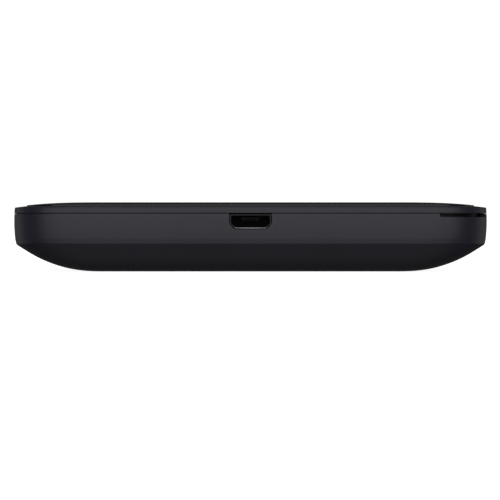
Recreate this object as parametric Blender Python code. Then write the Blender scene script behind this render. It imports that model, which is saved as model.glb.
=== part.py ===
"""Mobile hotspot: a battery-powered pocket router in a two-part plastic case.

The case lies on its back, with its front face up (+Z), its long side along X and
its micro-USB receptacle facing -Y. The removable rear cover is the deep tray at
the bottom. Everything else hangs from the thin front housing, so the front half
lifts straight off the cover, as it does when the battery is changed.
All sizes are in metres.
"""

from math import cos, pi, radians, sin, sqrt, tan

import bmesh
import bpy
from mathutils import Vector

MM = 0.001

# Case: overall sizes.
LENGTH = 96.0 * MM
WIDTH = 60.0 * MM
THICKNESS = 14.1 * MM
CORNER_RADIUS = 14.3 * MM
CORNER_TAPER = 0.76
SMALLEST_CORNER = 1.0 * MM
CORNER_STEPS = 14

# Rear cover: an arched underside, a sloping flank and a barrelled side wall.
WALL = 1.2 * MM
UNDERSIDE_RADIUS = 25.0 * MM
FLANK_SLOPE = radians(33.5)
FLANK_RUN = 2.2 * MM
CREASE_RADIUS = 0.8 * MM
BARREL_RADIUS = 35.0 * MM
WIDEST_BELOW_RIM = 1.5 * MM
RIM_EDGE = 0.1 * MM

# Front half: the crowned panel, the housing's band and the seam below it.
CROWN_RADIUS = 95.0 * MM
CROWN_RUN = 13.0 * MM
PANEL_PROUD = 0.2 * MM
PANEL_GROOVE = 0.2 * MM
PANEL_EDGE = 0.06 * MM
BAND_HEIGHT = 1.19 * MM
BAND_EDGE = 0.2 * MM
LEDGE = 2.3 * MM
SEAM_GAP = 0.06 * MM
RECESS_DEPTH = 0.41 * MM
PLATE = 0.8 * MM
ADHESIVE = 0.1 * MM
SKIRT = 0.9 * MM
SKIRT_DEPTH = 2.2 * MM
SKIRT_GAP = 0.3 * MM

# Clearances.
FIT_GAP = 0.3 * MM
SOLDER_GAP = 0.08 * MM
SLIDE_GAP = 0.15 * MM
BOARD_GAP = 0.15 * MM
OVERCUT = 0.03 * MM

# Micro-USB receptacle, its wide side up.
USB_HALF_WIDTH = 4.05 * MM
USB_FOOT_HALF = 3.1 * MM
USB_HEIGHT = 2.8 * MM
USB_SHOULDER = 1.05 * MM
USB_DEPTH = 5.6 * MM
USB_SHEET = 0.24 * MM
USB_CORNER = 0.35 * MM
USB_SET_BACK = 0.25 * MM
USB_NOTCH_GAP = 0.14 * MM
USB_CONTACTS = 5
USB_CONTACT_PITCH = 0.65 * MM
USB_CONTACT_WIDTH = 0.35 * MM
TONGUE_HALF = 1.85 * MM
TONGUE = 0.5 * MM
TONGUE_BELOW_TOP = 0.55 * MM

# Finger notch at one corner of the cover's rim.
PRY_DEPTH = 1.3 * MM
PRY_HEIGHT = 0.7 * MM
PRY_START = radians(-77.0)
PRY_END = radians(-14.0)
PRY_SLANT = radians(1.2)

# Board, frame and screws.
BOARD = 0.8 * MM
FRAME = 0.8 * MM
FRAME_GAP = 1.0 * MM
BAY_WALL = 0.9 * MM
BAY_WALL_END = 0.45 * MM
ANTENNA_ZONE = 6.0 * MM
SCREW_INSET_X = 4.0 * MM
SCREW_INSET_Y = 6.0 * MM
SCREW_SHANK = 0.75 * MM
SCREW_HEAD = 1.4 * MM
SCREW_HEAD_HEIGHT = 0.9 * MM
SCREW_BITE = 1.7 * MM
SCREW_HOLE_GAP = 0.2 * MM
BOSS_RADIUS = 1.9 * MM

# Battery, its pad and its contacts.
BATTERY_LEFT = 29.0 * MM
BATTERY_RIGHT = 17.0 * MM
BATTERY_SIDE = 13.0 * MM
BATTERY_CORNER = 1.5 * MM
PAD = 0.6 * MM
PAD_GAP = 0.1 * MM
LABEL = 0.1 * MM
LABEL_GAP = 0.05 * MM
CONTACT_BLOCK_LENGTH = 2.8 * MM
CONTACT_BLOCK_HALF = 5.5 * MM
CONTACT_PITCH = 3.5 * MM

# Card and its holder.
CARD_LENGTH = 15.0 * MM
CARD_WIDTH = 12.0 * MM
CARD_THICKNESS = 0.76 * MM
CARD_SHOWS = 3.0 * MM
HOLDER_SHEET = 0.25 * MM
HOLDER_FROM_BAY = 3.2 * MM

# Keys on the far side, their switches, and the reset switch.
KEY_OFFSET = 15.0 * MM
POWER_KEY_LENGTH = 11.0 * MM
WPS_KEY_LENGTH = 8.0 * MM
KEY_HEIGHT = 2.5 * MM
KEY_BELOW_RIM = 0.1 * MM
KEY_FLANGE = 0.6 * MM
KEY_FLANGE_LAP = 0.9 * MM
KEY_TRAVEL = 0.35 * MM
NIB_LENGTH = 0.55 * MM
SWITCH_LENGTH = 5.2 * MM
SWITCH_DEPTH = 2.4 * MM
SWITCH_HEIGHT = 2.1 * MM
PLUNGER_LENGTH = 2.2 * MM
PLUNGER_HEIGHT = 1.0 * MM
RESET_SIDE = 3.4 * MM
RESET_HEIGHT = 1.5 * MM
RESET_RADIUS = 0.65 * MM
RESET_TRAVEL = 0.25 * MM

# Status lights.
LIGHT_COUNT = 4
LIGHT_PITCH = 9.0 * MM
LIGHT_FROM_FRONT = 17.5 * MM
GUIDE_RADIUS = 1.05 * MM
GUIDE_FLANGE = 1.7 * MM
LED_SIZE = (1.6 * MM, 0.8 * MM, 0.5 * MM)

# Parts on the board.
CAN_SHEET = 0.2 * MM
CAN_HEIGHT = 1.9 * MM
CHIP_HEIGHT = 1.0 * MM
ANTENNA_FOIL = 0.12 * MM
CARRIER_HEIGHT = 2.0 * MM


def crown_drop(inset):
    """How far the panel's face lies under its flat middle, at an inset from the case's edge."""
    run = max(CROWN_RUN - inset, 0)
    return CROWN_RADIUS - sqrt(CROWN_RADIUS ** 2 - run ** 2)


def ledge_height(inset):
    """Height of the housing's ledge round the panel, which follows the crown a step lower."""
    return THICKNESS - crown_drop(inset) - PANEL_PROUD


# Heights, from the top of the case down to its floor.
HALF_X = LENGTH / 2
HALF_Y = WIDTH / 2
BAND_TOP = ledge_height(0)
BAND_BOTTOM = BAND_TOP - BAND_HEIGHT
RIM = BAND_BOTTOM - SEAM_GAP
WIDEST = RIM - WIDEST_BELOW_RIM
RECESS_FLOOR = BAND_TOP - RECESS_DEPTH
PLATE_BOTTOM = RECESS_FLOOR - PLATE
USB_TOP = PLATE_BOTTOM - SLIDE_GAP - SOLDER_GAP
USB_BOTTOM = USB_TOP - USB_HEIGHT
BOARD_TOP = USB_BOTTOM - SOLDER_GAP
BOARD_BOTTOM = BOARD_TOP - BOARD
FRAME_TOP = BOARD_BOTTOM - BOARD_GAP
FRAME_BOTTOM = FRAME_TOP - FRAME
BATTERY_TOP = FRAME_BOTTOM - FIT_GAP
BATTERY_BOTTOM = WALL + PAD_GAP + PAD + PAD_GAP + LABEL + LABEL_GAP
ON_BOARD = BOARD_TOP + SOLDER_GAP
UNDER_BOARD = BOARD_BOTTOM - SOLDER_GAP

# Colour, roughness and metallic value of each finish.
FINISHES = {
    "case_plastic": ((0.046, 0.045, 0.052), 0.45, 0.0),
    "panel_gloss": ((0.012, 0.012, 0.014), 0.12, 0.0),
    "key_plastic": ((0.040, 0.039, 0.045), 0.40, 0.0),
    "frame_plastic": ((0.020, 0.020, 0.022), 0.60, 0.0),
    "light_guide": ((0.80, 0.82, 0.84), 0.20, 0.0),
    "board": ((0.02, 0.10, 0.05), 0.45, 0.0),
    "steel": ((0.60, 0.60, 0.61), 0.30, 1.0),
    "tin": ((0.62, 0.62, 0.60), 0.38, 1.0),
    "gold": ((0.75, 0.55, 0.22), 0.28, 1.0),
    "chip": ((0.018, 0.018, 0.018), 0.55, 0.0),
    "ceramic": ((0.70, 0.68, 0.62), 0.50, 0.0),
    "battery_skin": ((0.030, 0.030, 0.032), 0.50, 0.0),
    "label": ((0.72, 0.72, 0.70), 0.65, 0.0),
    "foam": ((0.05, 0.05, 0.05), 0.90, 0.0),
    "adhesive": ((0.10, 0.10, 0.10), 0.80, 0.0),
    "copper_foil": ((0.70, 0.38, 0.22), 0.35, 1.0),
    "card": ((0.86, 0.86, 0.84), 0.45, 0.0),
    "switch_plastic": ((0.55, 0.52, 0.46), 0.55, 0.0),
}


# Shared tools

def clear_scene():
    for old in list(bpy.data.objects):
        bpy.data.objects.remove(old, do_unlink=True)


def add_object(name, bm, finish, location=(0, 0, 0)):
    """Turn a bmesh into a named object with its own material."""
    bmesh.ops.recalc_face_normals(bm, faces=bm.faces)
    mesh = bpy.data.meshes.new(name)
    bm.to_mesh(mesh)
    bm.free()
    mesh.shade_smooth()
    mesh.set_sharp_from_angle(angle=radians(32))
    obj = bpy.data.objects.new(name, mesh)
    obj.location = location
    bpy.context.scene.collection.objects.link(obj)
    if finish:
        colour, roughness, metallic = FINISHES[finish]
        material = bpy.data.materials.new(name + "_" + finish)
        material.use_nodes = True
        shader = material.node_tree.nodes["Principled BSDF"]
        shader.inputs["Base Color"].default_value = (*colour, 1)
        shader.inputs["Roughness"].default_value = roughness
        shader.inputs["Metallic"].default_value = metallic
        mesh.materials.append(material)
    return obj


def use_as_tool(obj):
    """Keep a cutter or a guide out of the finished part."""
    obj.hide_render = True
    obj.display_type = "WIRE"
    return obj


def boolean(target, tool, operation):
    step = target.modifiers.new(tool.name, "BOOLEAN")
    step.operation = operation
    step.solver = "EXACT"
    step.object = use_as_tool(tool)


def cut(target, tool):
    boolean(target, tool, "DIFFERENCE")


def join(target, tool):
    boolean(target, tool, "UNION")


def rounded_outline(half_x, half_y, radius, steps=CORNER_STEPS):
    """Points round a rectangle with arc corners, counter-clockwise."""
    corners = ((1, 1), (-1, 1), (-1, -1), (1, -1))
    if radius <= 0:
        return [(side_x * half_x, side_y * half_y) for side_x, side_y in corners]
    radius = min(radius, 0.98 * half_x, 0.98 * half_y)
    points = []
    for turn, (side_x, side_y) in enumerate(corners):
        centre_x = side_x * (half_x - radius)
        centre_y = side_y * (half_y - radius)
        for step in range(steps + 1):
            angle = (turn + step / steps) * pi / 2
            points.append((centre_x + radius * cos(angle), centre_y + radius * sin(angle)))
    return points


def circle_outline(radius, steps):
    return [(radius * cos(2 * pi * i / steps), radius * sin(2 * pi * i / steps)) for i in range(steps)]


def rounded_polygon(corners, radius, steps=3):
    """Replace each corner of a convex outline by a short arc."""
    points = []
    count = len(corners)
    for i, corner in enumerate(corners):
        here = Vector(corner)
        back = (Vector(corners[i - 1]) - here).normalized()
        ahead = (Vector(corners[(i + 1) % count]) - here).normalized()
        half_angle = back.angle(ahead) / 2
        reach = radius / tan(half_angle)
        centre = here + (back + ahead).normalized() * (radius / sin(half_angle))
        start = here + back * reach - centre
        end = here + ahead * reach - centre
        for step in range(steps + 1):
            outward = start.lerp(end, step / steps).normalized()
            points.append(tuple(centre + outward * radius))
    return points


def skin(rings):
    """Close a stack of rings with equal point counts into one body.

    The sides are triangles, so that every face is flat, which the Boolean cuts need.
    """
    bm = bmesh.new()
    loops = [[bm.verts.new(point) for point in ring] for ring in rings]
    for low, high in zip(loops, loops[1:]):
        for i in range(len(low)):
            j = (i + 1) % len(low)
            bm.faces.new((low[i], low[j], high[j], high[i]))
    bmesh.ops.triangulate(bm, faces=bm.faces[:])
    bm.faces.new(loops[0])
    bm.faces.new(loops[-1])
    return bm


def level(outline, z):
    return [(x, y, z) for x, y in outline]


def case_ring(inset, z, radius):
    """One ring of the case, drawn in from its widest outline."""
    return level(rounded_outline(HALF_X - inset, HALF_Y - inset, radius), z)


def slab(name, finish, size, centre, bottom, corner=0.0, edge=0.0, steps=3):
    """A plate or block standing on the height `bottom`, with arc corners and eased edges."""
    half_x, half_y, height = size[0] / 2, size[1] / 2, size[2]
    layers = [(0, 0), (0, height)]
    if edge:
        layers = [(edge, 0), (0, edge), (0, height - edge), (edge, height)]
    rings = []
    for inset, z in layers:
        radius = max(corner - inset, corner / 4)
        rings.append(level(rounded_outline(half_x - inset, half_y - inset, radius, steps), z))
    return add_object(name, skin(rings), finish, (centre[0], centre[1], bottom))


def turned(name, finish, profile, centre, steps=16):
    """A round piece about a vertical axis from (radius, height) pairs."""
    rings = [level(circle_outline(radius, steps), z) for radius, z in profile]
    return add_object(name, skin(rings), finish, (centre[0], centre[1], 0))


def bent_strip(name, finish, path, width, thickness, y):
    """A bent spring strip that follows `path`, points (x, z), at the station y."""
    rings = []
    for i, (x, z) in enumerate(path):
        before = Vector(path[max(i - 1, 0)])
        after = Vector(path[min(i + 1, len(path) - 1)])
        along = (after - before).normalized()
        off_x, off_z = -along.y * thickness / 2, along.x * thickness / 2
        rings.append([
            (x - off_x, -width / 2, z - off_z),
            (x + off_x, -width / 2, z + off_z),
            (x + off_x, width / 2, z + off_z),
            (x - off_x, width / 2, z - off_z),
        ])
    return add_object(name, skin(rings), finish, (0, y, 0))


# Case profile

def barrel_inset(z):
    """How far the side wall draws in at a height, from its widest line."""
    return (z - WIDEST) ** 2 / (2 * BARREL_RADIUS)


def crease_height():
    return UNDERSIDE_RADIUS * (1 - cos(FLANK_SLOPE)) + FLANK_RUN * tan(FLANK_SLOPE)


def flat_inset():
    """Inset of the flat middle of the underside."""
    return barrel_inset(crease_height()) + FLANK_RUN + UNDERSIDE_RADIUS * sin(FLANK_SLOPE)


def cover_profile(depth, rim):
    """(inset, z, corner radius) from the flat underside up to the rim.

    depth is 0 for the outer skin and WALL for the inner one.
    """
    arc_radius = UNDERSIDE_RADIUS - depth
    points = []
    arc_steps = 6
    for step in range(arc_steps + 1):
        angle = FLANK_SLOPE * step / arc_steps
        inset = flat_inset() - arc_radius * sin(angle)
        outer_inset = flat_inset() - UNDERSIDE_RADIUS * sin(angle)
        radius = CORNER_RADIUS - CORNER_TAPER * outer_inset - (inset - outer_inset)
        radius = max(radius, SMALLEST_CORNER)
        points.append((inset, UNDERSIDE_RADIUS - arc_radius * cos(angle), radius))
    crease_inset = barrel_inset(crease_height()) + depth
    arc_inset, arc_top, _ = points[-1]
    crease = arc_top + (arc_inset - crease_inset) * tan(FLANK_SLOPE)
    crease_radius = CORNER_RADIUS - CORNER_TAPER * (crease_inset - depth) - depth
    ease = CREASE_RADIUS * tan((pi / 2 - FLANK_SLOPE) / 2) if depth == 0 else 0
    if ease:
        points.append((crease_inset + ease * cos(FLANK_SLOPE), crease - ease * sin(FLANK_SLOPE), crease_radius))
        points.append((crease_inset + 0.16 * ease, crease - 0.06 * ease, crease_radius))
        crease += ease
    points.append((crease_inset, crease, crease_radius))
    wall_steps = 4
    for step in range(1, wall_steps + 1):
        z = crease + (rim - crease) * step / wall_steps
        inset = barrel_inset(z)
        points.append((inset + depth, z, CORNER_RADIUS - CORNER_TAPER * inset - depth))
    return points


def cavity_inset(z):
    """Inset of the cover's inner skin at a height."""
    profile = cover_profile(WALL, RIM)
    if z >= RIM:
        return profile[-1][0]
    for (low_inset, low, _), (high_inset, high, _) in zip(profile, profile[1:]):
        if low <= z <= high:
            return low_inset + (high_inset - low_inset) * (z - low) / (high - low)
    return profile[0][0]


# Layout shared by the inside pieces

FRAME_INSET = cavity_inset(FRAME_BOTTOM) + FRAME_GAP
FRAME_HALF_X = HALF_X - FRAME_INSET
FRAME_HALF_Y = HALF_Y - FRAME_INSET
FRAME_CORNER = CORNER_RADIUS - FRAME_INSET
SKIRT_INSET = barrel_inset(RIM) + WALL + SKIRT_GAP
BOARD_HALF_X = FRAME_HALF_X - ANTENNA_ZONE
BOARD_HALF_Y = FRAME_HALF_Y - FIT_GAP
BAY_LEFT = -HALF_X + BATTERY_LEFT
BAY_RIGHT = HALF_X - BATTERY_RIGHT
BAY_HALF_Y = HALF_Y - BATTERY_SIDE
BAY_MIDDLE = (BAY_LEFT + BAY_RIGHT) / 2
USB_MOUTH = -HALF_Y + USB_SET_BACK
HOLDER_RIGHT = BAY_LEFT - FIT_GAP - BAY_WALL - HOLDER_FROM_BAY
HOLDER_LENGTH = CARD_LENGTH - CARD_SHOWS
HOLDER_HALF_Y = CARD_WIDTH / 2 + SLIDE_GAP + HOLDER_SHEET
HOLDER_BOTTOM = UNDER_BOARD - CARD_THICKNESS - 2 * SLIDE_GAP - 2 * HOLDER_SHEET
KEY_FACE = HALF_Y - 0.05 * MM
KEY_TOP = RIM - KEY_BELOW_RIM
KEY_BOTTOM = KEY_TOP - KEY_HEIGHT
KEY_MIDDLE = (KEY_TOP + KEY_BOTTOM) / 2
FLANGE_FACE = HALF_Y - WALL - FIT_GAP
FLANGE_BACK = FLANGE_FACE - KEY_FLANGE
NIB_END = FLANGE_BACK - NIB_LENGTH
SWITCH_FACE = NIB_END - KEY_TRAVEL - 2 * FIT_GAP
KEYS = (("power", KEY_OFFSET, POWER_KEY_LENGTH), ("wps", -KEY_OFFSET, WPS_KEY_LENGTH))
SCREW_X = BOARD_HALF_X - SCREW_INSET_X
SCREW_Y = BOARD_HALF_Y - SCREW_INSET_Y
SCREW_PLACES = [(x, y) for x in (-SCREW_X, SCREW_X) for y in (-SCREW_Y, SCREW_Y)]
LIGHT_Y = -HALF_Y + LIGHT_FROM_FRONT
LIGHT_PLACES = [((i - (LIGHT_COUNT - 1) / 2) * LIGHT_PITCH, LIGHT_Y) for i in range(LIGHT_COUNT)]
RESET_PLACE = (HOLDER_RIGHT - HOLDER_LENGTH / 2, HOLDER_HALF_Y + 2.5 * MM + RESET_SIDE / 2)


# Case pieces

def receptacle_outline(grow, top=0.0):
    """Outline of the receptacle in X and Z: a wide top over a narrower foot."""
    half = USB_HALF_WIDTH + grow
    foot = USB_FOOT_HALF + 0.6 * grow
    roof = (top or USB_TOP) + grow
    floor = USB_BOTTOM - grow
    shoulder = USB_BOTTOM + USB_SHOULDER
    corners = [(half, roof), (-half, roof), (-half, shoulder), (-foot, floor), (foot, floor), (half, shoulder)]
    return rounded_polygon(corners, USB_CORNER)


def usb_ring(grow, y, top=0.0):
    return [(x, y, z) for x, z in receptacle_outline(grow, top)]


def make_rear_cover():
    outer = cover_profile(0, RIM - RIM_EDGE)
    inner = cover_profile(WALL, RIM - RIM_EDGE)
    rim_inset, _, rim_radius = outer[-1]
    outer_edge = (rim_inset + RIM_EDGE, RIM, rim_radius - RIM_EDGE)
    inner_edge = (rim_inset + WALL - RIM_EDGE, RIM, rim_radius - WALL + RIM_EDGE)
    rings = [case_ring(*point) for point in outer + [outer_edge, inner_edge] + inner[::-1]]
    cover = add_object("rear_cover", skin(rings), "case_plastic")
    cut(cover, usb_notch())
    cut(cover, finger_notch())
    for key, x, length in KEYS:
        cut(cover, key_notch(key, x, length))
    pad_size = ((BAY_RIGHT - BAY_LEFT) / 2, BAY_HALF_Y, PAD)
    slab("cover_foam_pad", "foam", pad_size, (BAY_MIDDLE, 0), WALL + PAD_GAP, 1.5 * MM, 0.1 * MM)


def usb_notch():
    """The cut-out in the cover's rim that the receptacle looks through."""
    above = RIM + FIT_GAP
    rings = [usb_ring(USB_NOTCH_GAP, y, above) for y in (-HALF_Y - 1 * MM, -HALF_Y + 2 * WALL)]
    return add_object("usb_notch_cutter", skin(rings), None)


def finger_notch():
    """A low notch through the rim that runs round one corner, for a fingernail."""
    centre_x = HALF_X - CORNER_RADIUS
    centre_y = -HALF_Y + CORNER_RADIUS
    steps = 12
    rings = []
    for z, slant in ((RIM - PRY_HEIGHT, PRY_SLANT), (RIM + FIT_GAP, 0)):
        start, end = PRY_START + slant, PRY_END - slant
        angles = [start + (end - start) * i / steps for i in range(steps + 1)]
        near = [(CORNER_RADIUS - PRY_DEPTH, angle) for angle in angles]
        far = [(CORNER_RADIUS + 1 * MM, angle) for angle in reversed(angles)]
        rings.append([(centre_x + r * cos(a), centre_y + r * sin(a), z) for r, a in near + far])
    return add_object("finger_notch_cutter", skin(rings), None)


def key_notch(key, x, length):
    size = (length + 2 * SLIDE_GAP, 4 * WALL, KEY_HEIGHT + SLIDE_GAP + 1 * MM)
    return slab(key + "_key_notch_cutter", None, size, (x, HALF_Y), KEY_BOTTOM - SLIDE_GAP)


def make_front_housing():
    """The band that shows round the case, its ledge, the plate inside and the locating skirt."""
    skirt_end = PLATE_BOTTOM - SKIRT_DEPTH
    inner = SKIRT_INSET + SKIRT
    low = barrel_inset(BAND_BOTTOM)
    high = barrel_inset(BAND_TOP)
    shoulder = high + BAND_EDGE
    profile = [
        (inner, PLATE_BOTTOM),
        (inner, skirt_end),
        (SKIRT_INSET, skirt_end),
        (SKIRT_INSET, BAND_BOTTOM),
        (low + RIM_EDGE, BAND_BOTTOM),
        (low, BAND_BOTTOM + RIM_EDGE),
        (high, ledge_height(shoulder) - BAND_EDGE),
        (high + 0.3 * BAND_EDGE, ledge_height(shoulder) - 0.3 * BAND_EDGE),
        (shoulder, ledge_height(shoulder)),
        ((shoulder + LEDGE) / 2, ledge_height((shoulder + LEDGE) / 2)),
        (LEDGE, ledge_height(LEDGE)),
        (LEDGE, RECESS_FLOOR),
    ]
    rings = [case_ring(inset, z, CORNER_RADIUS - inset) for inset, z in profile]
    housing = add_object("front_housing", skin(rings), "case_plastic")
    for i, place in enumerate(SCREW_PLACES):
        boss_bottom = BOARD_TOP + FIT_GAP
        boss_size = [(BOSS_RADIUS, boss_bottom), (BOSS_RADIUS, PLATE_BOTTOM + PLATE / 2)]
        join(housing, turned(f"boss_guide_{i + 1}", None, boss_size, place))
    for i, place in enumerate(SCREW_PLACES):
        hole_radius = SCREW_SHANK + SCREW_HOLE_GAP
        hole = [(hole_radius, BOARD_TOP), (hole_radius, BOARD_TOP + SCREW_BITE + 2 * FIT_GAP)]
        cut(housing, turned(f"boss_hole_cutter_{i + 1}", None, hole, place, 12))
    skirt_cut_height = PLATE_BOTTOM + OVERCUT - skirt_end + FIT_GAP
    skirt_middle = HALF_Y - SKIRT_INSET - SKIRT / 2
    openings = [("usb", 0, 2 * USB_HALF_WIDTH, -skirt_middle)]
    openings += [(key, x, length + 2 * KEY_FLANGE_LAP, skirt_middle) for key, x, length in KEYS]
    for key, x, length, y in openings:
        size = (length + 4 * FIT_GAP, SKIRT + 2 * FIT_GAP, skirt_cut_height)
        cut(housing, slab(key + "_skirt_cutter", None, size, (x, y), skirt_end - FIT_GAP))
    for i, place in enumerate(LIGHT_PLACES):
        cut(housing, light_hole(f"housing_light_cutter_{i + 1}", place))


def light_hole(name, place):
    radius = GUIDE_RADIUS + SLIDE_GAP
    return turned(name, None, [(radius, PLATE_BOTTOM - 1 * MM), (radius, THICKNESS + 1 * MM)], place)


def make_front_panel():
    """The glossy crowned panel, bonded into the housing's recess."""
    edge = LEDGE + PANEL_GROOVE
    bottom = RECESS_FLOOR + ADHESIVE + LABEL_GAP
    inner_edge = edge + PANEL_EDGE
    profile = [
        (edge, bottom),
        (edge, THICKNESS - crown_drop(inner_edge) - PANEL_EDGE),
        (edge + 0.3 * PANEL_EDGE, THICKNESS - crown_drop(inner_edge) - 0.3 * PANEL_EDGE),
    ]
    crown_steps = 6
    for step in range(crown_steps + 1):
        inset = inner_edge + (CROWN_RUN - inner_edge) * step / crown_steps
        profile.append((inset, THICKNESS - crown_drop(inset)))
    rings = [case_ring(inset, z, CORNER_RADIUS - CORNER_TAPER * inset) for inset, z in profile]
    panel = add_object("front_panel", skin(rings), "panel_gloss")
    for i, place in enumerate(LIGHT_PLACES):
        cut(panel, light_hole(f"panel_light_cutter_{i + 1}", place))
    make_panel_adhesive(edge)


def make_panel_adhesive(edge):
    """A die-cut ring of adhesive between the panel and the housing."""
    outer = edge + 2 * FIT_GAP
    size = (2 * (HALF_X - outer), 2 * (HALF_Y - outer), ADHESIVE)
    bottom = RECESS_FLOOR + LABEL_GAP / 2
    ring = slab("panel_adhesive", "adhesive", size, (0, 0), bottom, CORNER_RADIUS - outer, steps=6)
    hole = (size[0] - 8 * MM, size[1] - 8 * MM, ADHESIVE + 2 * MM)
    middle = slab("adhesive_cutter", None, hole, (0, 0), bottom - 1 * MM, CORNER_RADIUS - outer - 4 * MM, steps=6)
    cut(ring, middle)


def make_light_guides():
    """Each light guide rises from its LED to the panel's face and hangs by a flange."""
    flange_top = PLATE_BOTTOM - SLIDE_GAP
    for i, place in enumerate(LIGHT_PLACES):
        profile = [
            (GUIDE_RADIUS, ON_BOARD + LED_SIZE[2] + FIT_GAP),
            (GUIDE_RADIUS, flange_top - 0.5 * MM),
            (GUIDE_FLANGE, flange_top - 0.5 * MM),
            (GUIDE_FLANGE, flange_top),
            (GUIDE_RADIUS, flange_top),
            (GUIDE_RADIUS, THICKNESS - 0.12 * MM),
            (GUIDE_RADIUS - 0.1 * MM, THICKNESS - 0.02 * MM),
        ]
        turned(f"light_guide_{i + 1}", "light_guide", profile, place)
        slab(f"status_led_{i + 1}", "ceramic", LED_SIZE, place, ON_BOARD, 0, 0.05 * MM)


# Frame, board and screws

def make_inner_frame():
    """The plate behind the board, with walls round the battery bay."""
    size = (2 * FRAME_HALF_X, 2 * FRAME_HALF_Y, FRAME)
    frame = slab("inner_frame", "frame_plastic", size, (0, 0), FRAME_BOTTOM, FRAME_CORNER, steps=6)
    bay = (BAY_RIGHT - BAY_LEFT + 2 * FIT_GAP, 2 * (BAY_HALF_Y + FIT_GAP))
    wall_bottom = BATTERY_BOTTOM + BAY_WALL_END
    walls = (bay[0] + 2 * BAY_WALL, bay[1] + 2 * BAY_WALL, FRAME_TOP - FRAME / 2 - wall_bottom)
    block = slab("bay_wall_guide", None, walls, (BAY_MIDDLE, 0), wall_bottom, BATTERY_CORNER + BAY_WALL)
    join(frame, block)
    hollow = (bay[0], bay[1], FRAME_BOTTOM - wall_bottom + 1 * MM)
    cut(frame, slab("bay_cutter", None, hollow, (BAY_MIDDLE, 0), wall_bottom - 1 * MM, BATTERY_CORNER))
    cut(frame, contact_window())
    cut(frame, card_slot())
    reset_hole = (RESET_SIDE + 2 * FIT_GAP, RESET_SIDE + 2 * FIT_GAP, FRAME + 2 * MM)
    cut(frame, slab("reset_hole_cutter", None, reset_hole, RESET_PLACE, FRAME_BOTTOM - 1 * MM))
    cut_screw_holes(frame, "frame", FRAME_BOTTOM, FRAME)
    label_size = (0.8 * (BAY_RIGHT - BAY_LEFT), 1.4 * BAY_HALF_Y, LABEL)
    label_bottom = FRAME_BOTTOM - LABEL_GAP - LABEL
    slab("bay_label", "label", label_size, (BAY_MIDDLE, 0), label_bottom, 1 * MM)


def contact_window():
    """Opens the frame and the bay's left wall for the battery's contact block."""
    left = BAY_LEFT - FIT_GAP - CONTACT_BLOCK_LENGTH - FIT_GAP
    right = BAY_LEFT + FIT_GAP
    size = (right - left, 2 * (CONTACT_BLOCK_HALF + FIT_GAP), FRAME_TOP - BATTERY_BOTTOM + 1 * MM)
    return slab("contact_window_cutter", None, size, ((left + right) / 2, 0), BATTERY_BOTTOM + 1.2 * MM)


def card_slot():
    """Opens the frame from the card holder to the case's left end."""
    left = -HALF_X
    right = HOLDER_RIGHT + FIT_GAP
    size = (right - left, 2 * (HOLDER_HALF_Y + FIT_GAP), FRAME + 2 * MM)
    return slab("card_slot_cutter", None, size, ((left + right) / 2, 0), FRAME_BOTTOM - 1 * MM)


def cut_screw_holes(target, name, bottom, thickness):
    radius = SCREW_SHANK + SCREW_HOLE_GAP
    for i, place in enumerate(SCREW_PLACES):
        profile = [(radius, bottom - 1 * MM), (radius, bottom + thickness + 1 * MM)]
        cut(target, turned(f"{name}_screw_cutter_{i + 1}", None, profile, place, 12))


def make_board():
    size = (2 * BOARD_HALF_X, 2 * BOARD_HALF_Y, BOARD)
    board = slab("main_board", "board", size, (0, 0), BOARD_BOTTOM, 3 * MM)
    cut_screw_holes(board, "board", BOARD_BOTTOM, BOARD)


def make_screws():
    """Four screws go up through the frame and the board into the housing's bosses."""
    head_top = FRAME_BOTTOM - LABEL_GAP
    head_bottom = head_top - SCREW_HEAD_HEIGHT
    tip = BOARD_TOP + SCREW_BITE
    for i, place in enumerate(SCREW_PLACES):
        profile = [
            (SCREW_HEAD - 0.2 * MM, head_bottom),
            (SCREW_HEAD, head_bottom + 0.2 * MM),
            (SCREW_HEAD, head_top),
            (SCREW_SHANK, head_top),
            (SCREW_SHANK, tip - 0.4 * MM),
            (SCREW_SHANK / 2, tip),
        ]
        screw = turned(f"case_screw_{i + 1}", "steel", profile, place, 12)
        for arm, size in (("x", (1.6 * MM, 0.35 * MM)), ("y", (0.35 * MM, 1.6 * MM))):
            name = f"screw_recess_{arm}_cutter_{i + 1}"
            cut(screw, slab(name, None, (*size, 1 * MM), place, head_bottom - 0.5 * MM))


# Receptacle

def make_usb():
    back = USB_MOUTH + USB_DEPTH
    pocket_end = back - USB_SHEET
    rings = [
        usb_ring(0, back),
        usb_ring(0, USB_MOUTH),
        usb_ring(-USB_SHEET, USB_MOUTH),
        usb_ring(-USB_SHEET, pocket_end),
    ]
    add_object("usb_shell", skin(rings), "steel")
    base_back = pocket_end - LABEL_GAP
    base_front = base_back - 0.9 * MM
    base_rings = [usb_ring(-USB_SHEET - SOLDER_GAP, y) for y in (base_back, base_front)]
    base = add_object("usb_tongue", skin(base_rings), "frame_plastic")
    tongue_bottom = USB_TOP - TONGUE_BELOW_TOP - TONGUE
    tongue_front = USB_MOUTH + 0.5 * MM
    tongue_depth = base_front - tongue_front + 0.3 * MM
    tongue_middle = tongue_front + tongue_depth / 2
    tongue_size = (2 * TONGUE_HALF, tongue_depth, TONGUE)
    join(base, slab("tongue_guide", None, tongue_size, (0, tongue_middle), tongue_bottom, 0, 0.08 * MM))
    contact_length = tongue_depth - 0.9 * MM
    contact_size = (USB_CONTACT_WIDTH, contact_length, 0.12 * MM)
    for i in range(USB_CONTACTS):
        x = (i - (USB_CONTACTS - 1) / 2) * USB_CONTACT_PITCH
        bottom = tongue_bottom - contact_size[2] - 0.03 * MM
        slab(f"usb_contact_{i + 1}", "gold", contact_size, (x, tongue_middle - 0.1 * MM), bottom)


# Keys and switches

def make_keys():
    for key, x, length in KEYS:
        make_key(key, x, length)
        make_side_switch(key, x)


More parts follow.
